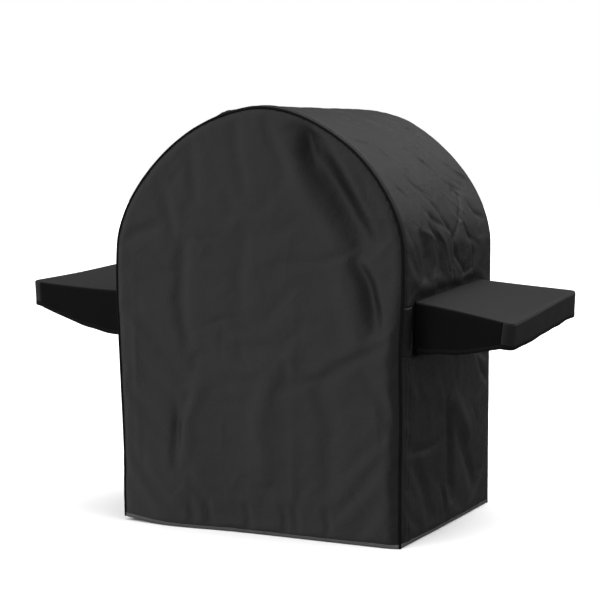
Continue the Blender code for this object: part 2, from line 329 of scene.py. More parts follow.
side_heights = np.r_[
    rows_between(flap_low.z, FLAP_TOP), rows_between(FLAP_TOP, CROWN_END), rows_between(CROWN_END, SPRING)
]
arch_rows = over_the_top(CORD, SPRING - 1e-4, WEFT)[1:]
right_rows = np.c_[np.full(len(side_heights), SIDE_X), side_heights]
strip_rows = np.vstack([right_rows, arch_rows[:-1], right_rows[::-1] * (-1, 1)])
row_lengths = np.r_[0, np.cumsum(np.linalg.norm(np.diff(strip_rows, axis=0), axis=1))]
STRIP_LENGTH = row_lengths[-1]


def in_window(centre):
    return FLAP_TOP < centre.z < CROWN_END and WINDOW_FRONT < centre.y < WINDOW_REAR


def cut_strip():
    reach = HALF_DEPTH - 2 * CORD + TUCK
    bm = bmesh.new()
    bmesh.ops.create_grid(bm, x_segments=round(2 * reach / WEFT), y_segments=len(strip_rows) - 1, size=0.5)
    lengthwise = bm.verts.layers.float.new("length")
    for vert in bm.verts:
        row = round((vert.co.y + 0.5) * (len(strip_rows) - 1))
        vert[lengthwise] = row_lengths[row]
        vert.co = (strip_rows[row][0], vert.co.x * 2 * reach, strip_rows[row][1])
    window = [face for face in bm.faces if in_window(face.calc_center_median())]
    bmesh.ops.delete(bm, geom=window, context="FACES")
    bm.verts.index_update()
    cut = [(v.co.y, v[lengthwise]) for v in bm.verts]
    face_outwards(bm, Vector((0, 0, 1)))
    return object_from(bm, "strip_cloth", cut)


strip = cut_strip()
print("strip", round(STRIP_LENGTH, 3), "m long,", len(strip.data.polygons), "faces")

# %% [markdown]
# ## Folds
# A cover that was folded flat in its bag, then pulled over a lid, keeps two kinds of fold: broad soft ones, which
# run from where the cloth is held to where it is slack, and sharp packing creases. A fold is drawn here
# as a short line on the flat pattern, with a depth and a width, and it fades towards its ends.

# %% Fold helper
def fold(cut, line, depth, width, sharp=False):
    """Height of one fold at each place of the pattern: a soft trough or ridge, or a sharp crease."""
    line = np.array(line, float)
    steps = np.linalg.norm(np.diff(line, axis=0), axis=1)
    before, total = np.r_[0, np.cumsum(steps)], steps.sum()
    nearest = np.full(len(cut), np.inf)
    along = np.zeros(len(cut))
    for start, stop, length, done in zip(line[:-1], line[1:], steps, before):
        t = np.clip((cut - start) @ (stop - start) / length**2, 0, 1)
        gap = np.linalg.norm(cut - (start + t[:, None] * (stop - start)), axis=1)
        closer = gap < nearest
        nearest[closer] = gap[closer]
        along[closer] = (done + t * length)[closer]
    ends = np.sin(np.pi * np.clip(along / total, 0, 1)) ** 0.6
    profile = np.exp(-nearest / width) if sharp else np.exp(-((nearest / width) ** 2))
    return depth * profile * ends


def folds(cut, drawn):
    """The sum of many folds, each given as (line, depth, width) or (line, depth, width, True) for a crease."""
    height = np.zeros(len(cut))
    for entry in drawn:
        height += fold(cut, *entry)
    return height


# %% Folds of the front panel, as (x, z)
front_folds = [
    ([(0.150, 1.245), (0.173, 1.152), (0.269, 1.008), (0.372, 0.855)], -0.042, 0.046),
    ([(0.235, 1.170), (0.310, 1.040), (0.395, 0.890)], 0.010, 0.030),
    ([(0.100, 1.200), (0.160, 1.050), (0.290, 0.860)], 0.014, 0.040),
    ([(0.305, 0.850), (0.350, 0.760), (0.388, 0.610)], -0.026, 0.022),
    ([(0.250, 0.840), (0.290, 0.720), (0.330, 0.560)], 0.007, 0.035),
    ([(0.158, 1.250), (0.163, 1.180), (0.180, 1.090)], -0.009, 0.015),
    ([(-0.235, 1.190), (-0.215, 1.120), (-0.200, 0.980)], -0.004, 0.020),
    ([(-0.080, 1.262), (-0.070, 1.170), (-0.045, 1.020)], -0.0035, 0.022),
    ([(0.020, 1.268), (0.050, 1.180), (0.110, 1.060)], -0.004, 0.020),
    ([(-0.330, 1.080), (-0.300, 1.000), (-0.270, 0.880)], -0.003, 0.020),
    ([(-0.455, 0.860), (-0.390, 0.900), (-0.300, 0.930)], -0.006, 0.018),
    ([(-0.235, 0.900), (-0.249, 0.700), (-0.225, 0.540)], -0.009, 0.020),
    ([(-0.040, 0.950), (-0.060, 0.760), (-0.050, 0.600)], -0.004, 0.030),
    ([(-0.220, 0.430), (-0.269, 0.300), (-0.275, 0.170)], -0.009, 0.013),
    ([(-0.180, 0.480), (-0.235, 0.330), (-0.240, 0.200)], 0.006, 0.025),
    ([(0.200, 0.500), (0.240, 0.330), (0.235, 0.120)], -0.005, 0.035),
    ([(0.330, 0.520), (0.400, 0.430), (0.440, 0.330)], -0.008, 0.020),
    ([(0.050, 0.560), (0.010, 0.350), (0.030, 0.150)], 0.007, 0.045),
    ([(0.163, 1.215), (0.152, 1.130), (0.215, 1.020)], -0.007, 0.009, True),
    ([(0.262, 1.150), (0.330, 1.030), (0.400, 0.905)], 0.006, 0.009, True),
    ([(0.285, 0.905), (0.350, 0.850), (0.420, 0.820)], -0.006, 0.008, True),
    ([(-0.262, 0.420), (-0.270, 0.330), (-0.258, 0.235)], -0.008, 0.008, True),
    ([(-0.400, 0.850), (-0.402, 0.035)], 0.0025, 0.006, True),
    ([(0.120, 0.860), (0.118, 0.050)], 0.0025, 0.006, True),
]
HEM_TUCKS = (-0.215, -0.160, -0.030, 0.095, 0.130, 0.235)
front_folds += [([(x - 0.012, 0.105), (x, 0.050), (x + 0.004, 0.004)], -0.006, 0.010) for x in HEM_TUCKS]
print(len(front_folds), "folds drawn on the front panel")

# %% [markdown]
# The sides have folds of their own: broad ones on the flap, and a net of pinched creases above the wing, where
# the corner of the lid presses from inside.
# The crown is covered with fine creases that fan out from the front seam over the shoulder. Nobody places
# those one by one, so a seeded generator scatters them.

# %% Folds of the strip, as (y, distance from the right hem)
side_folds = [
    ([(-0.010, 0.400), (0.010, 0.260), (0.020, 0.060)], -0.014, 0.022),
    ([(0.030, 0.410), (0.110, 0.310), (0.200, 0.240)], 0.012, 0.035),
    ([(0.060, 0.300), (0.160, 0.180), (0.240, 0.060)], -0.010, 0.030),
    ([(-0.340, 0.275), (-0.200, 0.262), (-0.080, 0.270)], -0.006, 0.012),
    ([(-0.290, 0.250), (-0.200, 0.150), (-0.150, 0.030)], -0.009, 0.030),
    ([(-0.060, 0.140), (-0.030, 0.070), (-0.035, 0.010)], -0.009, 0.014),
    ([(-0.330, 0.520), (-0.290, 0.420), (-0.310, 0.310)], 0.007, 0.030),
    ([(0.340, 0.480), (0.250, 0.520), (0.180, 0.545)], -0.008, 0.014),
    ([(0.345, 0.400), (0.290, 0.440), (0.230, 0.520)], -0.008, 0.012),
    ([(-0.240, 0.920), (-0.200, 0.850), (-0.210, 0.760)], -0.012, 0.030),
    ([(-0.120, 0.960), (-0.090, 0.870), (-0.080, 0.770)], -0.007, 0.020),
]
PINCHES = (
    ((-0.080, 1.000), (-0.030, 0.940), (0.040, 0.880)),
    ((0.020, 0.870), (0.115, 0.945), (0.200, 1.030)),
    ((0.020, 0.900), (0.045, 0.830), (0.100, 0.780)),
    ((0.055, 0.850), (0.020, 0.790), (0.035, 0.740)),
    ((0.075, 0.810), (0.130, 0.770), (0.200, 0.785)),
    ((0.105, 0.960), (0.160, 0.880), (0.260, 0.850)),
    ((0.150, 0.900), (0.195, 0.830), (0.185, 0.770)),
    ((-0.030, 0.820), (0.005, 0.775), (-0.015, 0.735)),
    ((0.210, 1.000), (0.255, 0.950), (0.330, 0.930)),
    ((-0.150, 0.930), (-0.110, 0.850), (-0.130, 0.770)),
)
pinched_creases = [(line, -0.0065, 0.007, True) for line in PINCHES]


def on_both_sides(drawn):
    """The same folds on the right and, mirrored, on the left."""
    return drawn + [([(y, STRIP_LENGTH - s) for y, s in entry[0]], *entry[1:]) for entry in drawn]


strip_folds = on_both_sides(side_folds)


def fanned_creases(seed, count):
    """Fine creases over both shoulders: they start near the front seam and run back and down."""
    rng = np.random.default_rng(seed)
    creases = []
    for _ in range(count):
        side = rng.integers(2)
        y = rng.uniform(-0.35, 0.25)
        s = rng.uniform(0.90, 1.50)
        length = rng.uniform(0.06, 0.22)
        turn = math.radians(rng.uniform(-70, -15))
        bend = rng.uniform(-0.012, 0.012)
        middle = (y + 0.5 * length * math.cos(turn) + bend, s + 0.5 * length * math.sin(turn) + bend)
        end = (y + length * math.cos(turn), s + length * math.sin(turn))
        line = [(y, s), middle, end]
        if side:
            line = [(a, STRIP_LENGTH - b) for a, b in line]
        creases.append((line, rng.uniform(-0.0095, 0.0070), rng.uniform(0.005, 0.008), True))
    return creases


crown_creases = fanned_creases(21, 110)
print(len(strip_folds), "folds and", len(crown_creases), "fine creases on the strip")

# %% [markdown]
# ## The wing seam
# Each wing is drawn level, out from its seam, then tilted and drooped. The seam presses the wing onto the cloth
# of the side, so the strip has to be held along that line while it hangs. The wing's own sizes come first.

# %% Sizes of the wings
WING_LENGTH, WING_FRONT, WING_REAR = 0.350, 0.290, 0.275
WING_HEIGHT, WING_SEAM_X, WING_ROOT_X = 0.728, 0.4641, 0.4669
WING_ROOT_DROP, WING_TIP_DROP, WING_CORNER = 0.147, 0.065, 0.035
WING_TILT = math.radians(3)
WINGS = {"right": (1, math.radians(4.5)), "left": (-1, math.radians(0.5))}
WING_CORD = 0.0025


def place_wing(points, side):
    """Takes points from a wing's own level frame to where the wing hangs."""
    sign, droop = WINGS[side]
    p = np.array(points, float).reshape(-1, 3)
    drooped = p @ np.array(Matrix.Rotation(sign * droop, 3, "Y")).T
    drooped[:, 0] += sign * (WING_ROOT_X - WING_SEAM_X)
    tilted = drooped @ np.array(Matrix.Rotation(WING_TILT, 3, "X")).T
    placed = tilted + (sign * WING_SEAM_X, 0, WING_HEIGHT)
    root = placed.copy()
    root[:, 0] = sign * SIDE_X
    return placed + (hang(root) - root)


def wing_drop(x):
    """Depth of the skirts at the distance x from the seam."""
    along = np.clip(np.asarray(x, float) / WING_LENGTH, 0, 1)
    return WING_TIP_DROP + (WING_ROOT_DROP - WING_TIP_DROP) * np.cos(along * np.pi / 2)


def wing_seam_path(spacing):
    """The seam in the wing's frame: up the front, along the top, down the rear, as (y, z)."""
    corner = 0.014
    path = [(-WING_FRONT, -WING_ROOT_DROP)]
    path += [(corner * (1 - math.cos(t)) - WING_FRONT, corner * (math.sin(t) - 1)) for t in np.linspace(0, math.pi / 2, 7)]
    path += [(WING_REAR - corner * (1 - math.sin(t)), corner * (math.cos(t) - 1)) for t in np.linspace(0, math.pi / 2, 7)]
    path.append((WING_REAR, -WING_ROOT_DROP))
    path = np.array(path)
    lengths = np.r_[0, np.cumsum(np.linalg.norm(np.diff(path, axis=0), axis=1))]
    at = np.linspace(0, lengths[-1], round(lengths[-1] / spacing) + 1)
    return np.c_[np.zeros(len(at)), np.interp(at, lengths, path[:, 0]), np.interp(at, lengths, path[:, 1])]


wing_seams = {side: place_wing(wing_seam_path(0.01), side) for side in WINGS}
print("wing seam", len(wing_seams["right"]), "points")

# %% [markdown]
# ## Let it hang
# The folds above only start the cloth off. The cloth solver then lets it settle: gravity pulls, the seams,
# hems and wing seams are held, and a slack of about one per cent has to go somewhere, so it buckles
# into the small irregular folds that are hard to draw by hand. A weak pull towards the starting shape
# stands in for the grill inside. The three cloths are settled together and their result is kept as plain meshes.

# %% Start the cloth off
def rim_of(obj):
    uses = {}
    for polygon in obj.data.polygons:
        for key in polygon.edge_keys:
            uses[key] = uses.get(key, 0) + 1
    return sorted({vertex for key, count in uses.items() if count == 1 for vertex in key})


def near_wing_seam(points, reach):
    """True for points that the wing seams hold."""
    held = np.zeros(len(points), bool)
    for seam in wing_seams.values():
        for spot in seam:
            held |= np.linalg.norm(points - spot, axis=1) < reach
    return held


def start_cloth(obj, drawn, ripple, seed):
    """Hangs the pattern, adds the drawn folds and a light ripple, and says how firmly each vertex is held."""
    pattern = points_of(obj)
    hung = hang(pattern)
    held = near_wing_seam(hung, 0.016)
    held[rim_of(obj)] = True
    cut = cut_of(obj)
    height = folds(cut, drawn) + ripple * slow_noise(pattern, 11, seed)[:, 0]
    tree = KDTree(int(held.sum()))
    for index in np.nonzero(held)[0]:
        tree.insert(hung[index], int(index))
    tree.balance()
    distance = np.array([tree.find(Vector(p))[2] for p in hung])
    height = height * ramp(distance, 0, 0.035) + SEAM_PUFF * ramp(distance, 0, 0.018)
    set_points(obj, hung + normals_of(obj) * height[:, None])
    group = obj.vertex_groups.new(name="held")
    over_lid = ramp(pattern[:, 2], SPRING, SPRING + 0.12) * (np.abs(pattern[:, 1]) < FACE_Y - 2 * CORD)
    push = GRILL_PUSH + (LID_PUSH - GRILL_PUSH) * over_lid
    for index in range(len(pattern)):
        group.add([index], 1.0 if held[index] else float(push[index]), "REPLACE")


GRILL_PUSH = 0.22
LID_PUSH = 0.45
SEAM_PUFF = 0.008
SLACK = 0.0045
start_cloth(front_panel, front_folds, 0.0018, 11)
start_cloth(rear_panel, [([(-x, z) for x, z in entry[0]], *entry[1:]) for entry in front_folds[6:]], 0.0035, 12)
start_cloth(strip, strip_folds, 0.0022, 13)
print("cloth started, held vertices in group 'held'")


# %% Settle it
GRAVITY = 0.15


def add_cloth(obj):
    cloth = obj.modifiers.new("cloth", "CLOTH")
    settings = cloth.settings
    settings.quality = 5
    settings.mass = 0.2
    settings.tension_stiffness = 40
    settings.compression_stiffness = 40
    settings.shear_stiffness = 15
    settings.bending_model = "ANGULAR"
    settings.bending_stiffness = 2.0
    settings.tension_damping = 10
    settings.compression_damping = 10
    settings.shear_damping = 10
    settings.bending_damping = 1
    settings.air_damping = 2
    settings.vertex_group_mass = "held"
    settings.pin_stiffness = 1
    settings.shrink_min = -SLACK
    settings.effector_weights.gravity = GRAVITY
    cloth.collision_settings.use_collision = False
    cloth.collision_settings.use_self_collision = False


def settle(cloths, frames):
    scene = bpy.context.scene
    scene.frame_start, scene.frame_end = 1, frames
    before = [points_of(obj) for obj in cloths]
    for obj in cloths:
        add_cloth(obj)
        obj.modifiers["cloth"].point_cache.frame_start = 1
        obj.modifiers["cloth"].point_cache.frame_end = frames
    for number in range(1, frames + 1):
        scene.frame_set(number)
    depsgraph = bpy.context.evaluated_depsgraph_get()
    settled = [points_of_mesh(obj.evaluated_get(depsgraph).to_mesh()) for obj in cloths]
    for obj, start, points in zip(cloths, before, settled):
        obj.modifiers.clear()
        set_points(obj, points)
        moved = np.linalg.norm(points - start, axis=1)
        print(obj.name, "moved", round(moved.mean() * 1000, 1), "mm, at most", round(moved.max() * 1000, 1))
    scene.frame_set(1)


def points_of_mesh(mesh):
    flat = np.empty(len(mesh.vertices) * 3)
    mesh.vertices.foreach_get("co", flat)
    return flat.reshape(-1, 3)


settle([front_panel, rear_panel, strip], 30)

# %% [markdown]
# ## Finer cloth, and cutting it into pieces
# The settled grid is subdivided once, to about 6 mm, which rounds its folds. Only then do the
# fine creases go on, along the normals, because a 12 mm grid can't hold them. The strip is cut apart
# on its rows, into the crown, four cheeks and two flaps: one cloth's folds run on across the seams.

# %% Refine a cloth
def refine(obj, drawn, ripple, seed):
    """Subdivides the cloth once, then adds fine creases and a small ripple along its normals."""
    smoother = obj.modifiers.new("finer", "SUBSURF")
    smoother.levels = smoother.render_levels = 1
    depsgraph = bpy.context.evaluated_depsgraph_get()
    mesh = bpy.data.meshes.new_from_object(obj.evaluated_get(depsgraph))
    obj.modifiers.clear()
    obj.vertex_groups.clear()
    obj.data = mesh
    points = points_of(obj)
    height = folds(cut_of(obj), drawn) + ripple * slow_noise(points, 24, seed)[:, 1]
    rim = np.zeros(len(points), bool)
    rim[rim_of(obj)] = True
    height[rim] = 0
    set_points(obj, points + normals_of(obj) * height[:, None])


def scattered_creases(seed, count, low, high, bend=0.01):
    """Short creases at random places and angles within a rectangle of the pattern."""
    rng = np.random.default_rng(seed)
    creases = []
    for _ in range(count):
        middle = rng.uniform(low, high)
        turn = rng.uniform(0, math.pi)
        reach = rng.uniform(0.02, 0.07) * np.array((math.cos(turn), math.sin(turn)))
        kink = middle + rng.uniform(-bend, bend, 2)
        creases.append(([middle - reach, kink, middle + reach], rng.uniform(-0.0026, 0.0026), 0.006, True))
    return creases


panel_creases = scattered_creases(31, 70, (-0.42, 0.05), (0.42, 1.15))
refine(front_panel, panel_creases, 0.0006, 32)
refine(rear_panel, scattered_creases(33, 60, (-0.42, 0.05), (0.42, 1.15)), 0.0006, 34)
low_creases = scattered_creases(35, 34, (-0.33, 0.03), (0.33, 0.80))
high_creases = scattered_creases(36, 34, (-0.33, STRIP_LENGTH - 0.80), (0.33, STRIP_LENGTH - 0.03))
refine(strip, crown_creases + on_both_sides(pinched_creases) + low_creases + high_creases, 0.0008, 37)
print("refined strip has", len(strip.data.polygons), "faces")


# %% Cut pieces out of a cloth
def centres_in_cut(obj):
    """The middle of each face in the flat pattern."""
    places, starts = corners_in_cut(obj)
    counts = np.diff(np.r_[starts, len(places)])
    return np.add.reduceat(places, starts, axis=0) / counts[:, None]


def piece_from(cloth, name, chosen, lift=0.0):
    """Copies the chosen faces of a cloth as a new object, moved along the cloth's normals by lift."""
    obj = bpy.data.objects.new(name, cloth.data.copy())
    obj.data.name = name
    bpy.context.scene.collection.objects.link(obj)
    if lift:
        set_points(obj, points_of(obj) + normals_of(obj) * lift)
    bm = bmesh.new()
    bm.from_mesh(obj.data)
    bm.faces.ensure_lookup_table()
    bmesh.ops.delete(bm, geom=[bm.faces[i] for i in np.nonzero(~chosen)[0]], context="FACES")
    bm.to_mesh(obj.data)
    bm.free()
    return obj


def thicken(obj, thickness, *materials):
    """Gives a sheet its thickness, half to each side. A second material goes on the inner face."""
    obj.data.materials.clear()
    for material in materials:
        obj.data.materials.append(material)
    wall = obj.modifiers.new("thickness", "SOLIDIFY")
    wall.thickness = thickness
    wall.offset = 0
    wall.material_offset = len(materials) - 1
    return obj


def is_tape(obj, width_range, length_range):
    """Which faces of a cloth lie inside a rectangle of its pattern."""
    middle = centres_in_cut(obj)
    across = (middle[:, 0] > width_range[0]) & (middle[:, 0] < width_range[1])
    return across & (middle[:, 1] > length_range[0]) & (middle[:, 1] < length_range[1])


FLAP_LENGTH = FLAP_TOP - flap_low.z
CHEEK_END = CROWN_END - flap_low.z
WHOLE = (-1, 1)
spans = {"right": (lambda s: s), "left": (lambda s: STRIP_LENGTH - s)}


def span(side, low, high):
    """A stretch of the strip, measured up from the hem of one side."""
    return sorted((spans[side](low), spans[side](high)))


print("flap", round(FLAP_LENGTH, 3), "m of the strip, cheeks up to", round(CHEEK_END, 3))

# %% [markdown]
# ## Finishes
# The cloth is a 600-denier polyester weave with a coating inside. Up close it shows a fine basket weave, at arm's
# length a leathery crinkle, and from further off only a dull sheen. All three are bumps at their own
# scale, on the flat cut for the weave, and on object coordinates for the rest.

# %% Node helpers
def make_finish(name, colour, roughness, specular, sheen=0.0):
    """A material with its constants on the shader's own sockets."""
    material = bpy.data.materials.new(name)
    material.use_nodes = True
    shader = material.node_tree.nodes["Principled BSDF"]
    shader.inputs["Base Color"].default_value = (*colour, 1)
    shader.inputs["Roughness"].default_value = roughness
    shader.inputs["Specular IOR Level"].default_value = specular
    shader.inputs["Sheen Weight"].default_value = sheen
    shader.inputs["Sheen Roughness"].default_value = 0.5
    return material


def add_node(material, kind, links=(), **values):
    """Adds a node, sets its inputs and properties by name, and links (input, output socket) pairs."""
    node = material.node_tree.nodes.new(kind)
    for key, value in values.items():
        if key in node.inputs:
            node.inputs[key].default_value = value
        else:
            setattr(node, key, value)
    for key, socket in links:
        material.node_tree.links.new(node.inputs[key], socket)
    return node


def vary(material, where, colours, roughness, scale, seed):
    """Lets colour and roughness drift a little over the surface."""
    shader = material.node_tree.nodes["Principled BSDF"]
    shift = add_node(material, "ShaderNodeMapping", [("Vector", where)], Location=(seed, seed * 2, seed * 3))
    noise_node = add_node(material, "ShaderNodeTexNoise", [("Vector", shift.outputs[0])], Scale=scale, Detail=4)
    mix = add_node(material, "ShaderNodeMix", [("Factor", noise_node.outputs["Fac"])], data_type="RGBA")
    mix.inputs["A"].default_value
    for name, colour in zip(("A", "B"), colours):
        socket = next(s for s in mix.inputs if s.name == name and s.type == "RGBA")
        socket.default_value = (*colour, 1)
    out = next(s for s in mix.outputs if s.type == "RGBA")
    material.node_tree.links.new(shader.inputs["Base Color"], out)
    spread = add_node(material, "ShaderNodeMapRange", [("Value", noise_node.outputs["Fac"])])
    spread.inputs["To Min"].default_value, spread.inputs["To Max"].default_value = roughness
    material.node_tree.links.new(shader.inputs["Roughness"], spread.outputs[0])


def add_bump(material, height, depth, strength, under=None):
    """A bump whose height is in metres, on top of an earlier one."""
    links = [("Height", height)]
    if under:
        links.append(("Normal", under.outputs["Normal"]))
    return add_node(material, "ShaderNodeBump", links, Strength=strength, Distance=depth)


def object_place(material):
    return add_node(material, "ShaderNodeTexCoord").outputs["Object"]


def weave_height(material, where, pitch):
    """A basket weave: two sets of bands, one across the other."""
    heights = []
    for direction in ("X", "Y"):
        bands = add_node(material, "ShaderNodeTexWave", [("Vector", where)], Scale=WAVE_PERIOD / pitch)
        bands.bands_direction = direction
        heights.append(bands.outputs["Fac"])
    return add_node(material, "ShaderNodeMath", [(0, heights[0]), (1, heights[1])], operation="MULTIPLY").outputs[0]


WAVE_PERIOD = 2 * math.pi / 20


# %% Black cloth
def make_cloth(name, dark, light, roughness, specular, crinkle, sharpness=0.16):
    material = make_finish(name, dark, roughness[0], specular)
    where = object_place(material)
    vary(material, where, (dark, light), roughness, 5, 1.3)
    drift = add_node(material, "ShaderNodeTexNoise", [("Vector", where)], Scale=9, Detail=3)
    bent = add_node(material, "ShaderNodeMix", [("Factor", drift.outputs["Fac"])], data_type="VECTOR")
    vectors = [s for s in bent.inputs if s.type == "VECTOR"]
    material.node_tree.links.new(vectors[0], where)
    material.node_tree.links.new(vectors[1], drift.outputs["Color"])
    bent.inputs[0].default_value = 0.12
    material.node_tree.links.remove(bent.inputs[0].links[0])
    bent_out = next(s for s in bent.outputs if s.type == "VECTOR")
    cells = add_node(material, "ShaderNodeTexVoronoi", [("Vector", bent_out)], Scale=13, feature="DISTANCE_TO_EDGE")
    ridge = add_node(material, "ShaderNodeMapRange", [("Value", cells.outputs["Distance"])])
    ridge.inputs["From Max"].default_value = sharpness
    grain = add_node(material, "ShaderNodeTexNoise", [("Vector", where)], Scale=46, Detail=5, Roughness=0.6)
    cut = add_node(material, "ShaderNodeUVMap", uv_map="cut").outputs[0]
    first = add_bump(material, ridge.outputs[0], 0.0016 * crinkle, 0.25)
    second = add_bump(material, grain.outputs["Fac"], 0.0008 * crinkle, 0.25, first)
    last = add_bump(material, weave_height(material, cut, 0.0014), 0.0002, 0.35, second)
    shader = material.node_tree.nodes["Principled BSDF"]
    material.node_tree.links.new(shader.inputs["Normal"], last.outputs["Normal"])
    return material


black_cloth = make_cloth("black_cloth", (0.0055, 0.0056, 0.0060), (0.0085, 0.0086, 0.0092), (0.44, 0.60), 0.16, 1.0)
crown_cloth = make_cloth(
    "crown_cloth", (0.0052, 0.0053, 0.0057), (0.0080, 0.0081, 0.0087), (0.44, 0.60), 0.135, 2.6, sharpness=0.07
)
wing_cloth = make_cloth("wing_cloth", (0.0050, 0.0051, 0.0054), (0.0070, 0.0071, 0.0075), (0.55, 0.66), 0.12, 0.25)
backing = make_cloth("coated_backing", (0.020, 0.020, 0.021), (0.028, 0.028, 0.029), (0.65, 0.80), 0.20, 0.6)
print("cloth finishes", [m.name for m in (black_cloth, crown_cloth, wing_cloth, backing)])


# %% [markdown]
# The trims differ from the cloth in weave and gloss, and the piping also in colour: it is cloth drawn tight round a
# cord, but far darker than the cloth, as painted shade along the seams. The hem is bound with a light grey ribbed
# tape, and the wings with a black one. The closure is hook-and-loop tape, and the seam tape inside is a thin film
# that keeps rain out of the needle holes.

# %% Trims
def make_trim(name, colours, roughness, specular, scale, depth, stretch=(1, 1, 1), sheen=0.0):
    """A tape or cord: object coordinates, stretched to make ribs, with noise for its threads."""
    material = make_finish(name, colours[0], roughness[0], specular, sheen)
    where = object_place(material)
    vary(material, where, colours, roughness, 30, 4.1)
    ribs = add_node(material, "ShaderNodeMapping", [("Vector", where)], Scale=stretch)
    threads = add_node(material, "ShaderNodeTexNoise", [("Vector", ribs.outputs[0])], Scale=scale, Detail=3)
    last = add_bump(material, threads.outputs["Fac"], depth, 0.5)
    shader = material.node_tree.nodes["Principled BSDF"]
    material.node_tree.links.new(shader.inputs["Normal"], last.outputs["Normal"])
    return material


# Painted shade: the front and rear wing skirts are the wing's own fabric, made far darker and almost without gloss.
painted_shade_skirt_cloth = make_cloth("painted_shade_skirt_cloth", (0.0011, 0.0011, 0.0012), (0.0020, 0.0020, 0.0021), (0.45, 0.55), 0.03, 0.25)
# A black far deeper than the cloth. On the piping and its stitches it is painted shade, so the seams read as dark
# bands; the wing hem tape is black tape in the same black.
DEEP_BLACK_AND_SEAM_SHADE = ((0.0020, 0.0020, 0.0022), (0.0034, 0.0034, 0.0036))
black_piping = make_trim("black_piping", DEEP_BLACK_AND_SEAM_SHADE, (0.60, 0.75), 0.04, 260, 0.0006)
black_binding = make_trim("black_binding", DEEP_BLACK_AND_SEAM_SHADE, (0.60, 0.75), 0.05, 420, 0.0005, (1, 1, 0.2))
grey_binding = make_trim(
    "grey_binding", ((0.050, 0.050, 0.050), (0.080, 0.080, 0.079)), (0.55, 0.70), 0.2, 420, 0.0006, (1, 1, 0.15)
)
hook_and_loop = make_trim(
    "hook_and_loop", ((0.010, 0.010, 0.011), (0.020, 0.020, 0.021)), (0.85, 0.95), 0.05, 900, 0.0012, sheen=0.3
)
seam_seal = make_trim("seam_seal", ((0.10, 0.10, 0.10), (0.14, 0.14, 0.14)), (0.25, 0.40), 0.5, 60, 0.0004)
print("trims", [m.name for m in (black_piping, black_binding, grey_binding, hook_and_loop, seam_seal)])

# %% [markdown]
# ## The body's pieces
# Each sheet's size, measured on its flat pattern, is printed as the sheet is finished.

# %% Declare a sheet
def flat_size(obj):
    """Width, length and area of a piece on its flat pattern."""
    places, starts = corners_in_cut(obj)
    area = 0.0
    for corners in np.split(places, starts[1:]):
        x, y = corners.T
        area += abs(float(x @ np.roll(y, -1) - y @ np.roll(x, -1))) / 2
    width, length = places.max(axis=0) - places.min(axis=0)
    return float(width), float(length), area


def finish_sheet(obj, body, nodes, bends=None):
    """Prints a sheet's flat size, attaches it to its body or bakes it where it hangs, and hides the CAD nodes it stands
    for.
    """
    width, length, area = flat_size(obj)
    if bends:
        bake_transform(obj)
    else:
        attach(obj, body)
    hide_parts(*nodes)
    print(obj.name, "cut to", round(width, 3), "x", round(length, 3), "m,", round(area, 3), "m2")


def finish_trim(obj, body, nodes, bends=None):
    if bends:
        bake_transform(obj)
    else:
        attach(obj, body)
    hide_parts(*nodes)


# %% Piping
def make_cord(name, path, radius, material):
    """A round cord along a path, with a wandering thickness, made into a mesh."""
    curve = bpy.data.curves.new(name, "CURVE")
    curve.dimensions = "3D"
    curve.bevel_depth = radius
    curve.bevel_resolution = 3
    curve.use_fill_caps = True
    spline = curve.splines.new("POLY")
    spline.points.add(len(path) - 1)
    for point, place, drift in zip(spline.points, path, slow_noise(path, 30, 5)[:, 0]):
        point.co = (*place, 1)
        point.radius = 1 + 0.10 * drift
    temporary = bpy.data.objects.new(name, curve)
    bpy.context.scene.collection.objects.link(temporary)
    depsgraph = bpy.context.evaluated_depsgraph_get()
    mesh = bpy.data.meshes.new_from_object(temporary.evaluated_get(depsgraph))
    bpy.data.objects.remove(temporary)
    for polygon in mesh.polygons:
        polygon.use_smooth = True
    mesh.materials.clear()
    mesh.materials.append(material)
    obj = bpy.data.objects.new(name, mesh)
    bpy.context.scene.collection.objects.link(obj)
    return obj


for end, facing in (("front", -1), ("rear", 1)):
    line = over_the_top(CORD, HEM_LIFT, 0.008)
    path = hang(np.c_[line[:, 0], np.full(len(line), facing * FACE_Y), line[:, 1]])
    cord = make_cord(f"{end}_corner_piping", path, CORD, black_piping)
    finish_trim(cord, "cover", [f"{end}_piping"])
print("piping made, front and rear")


# %% Arched panels and their hems
def bind_hem(cloth, name, chosen, low, material):
    """The tape folded over a hem: the cloth's lowest faces, thicker and a little longer than the cloth."""
    hem = piece_from(cloth, name, chosen)
    points = points_of(hem)
    edge = cut_of(hem)
    foot = np.abs(edge[:, 1] - low) < 0.002
    points[foot, 2] -= 0.0009
    set_points(hem, points)
    return thicken(hem, 2 * CLOTH + 0.0003, material)


for end, cloth in (("front", front_panel), ("rear", rear_panel)):
    all_faces = np.ones(len(cloth.data.polygons), bool)
    low = cut_of(cloth)[:, 1].min()
    sheet = piece_from(cloth, f"{end}_arched_panel", all_faces)
    thicken(sheet, CLOTH, black_cloth, backing)
    finish_sheet(sheet, "cover", [f"{end}_panel"])
    hem = bind_hem(cloth, f"{end}_hem_tape", is_tape(cloth, WHOLE, (low, low + HEM_HEIGHT)), low, grey_binding)
    finish_trim(hem, "cover", [f"{end}_hem_binding"])
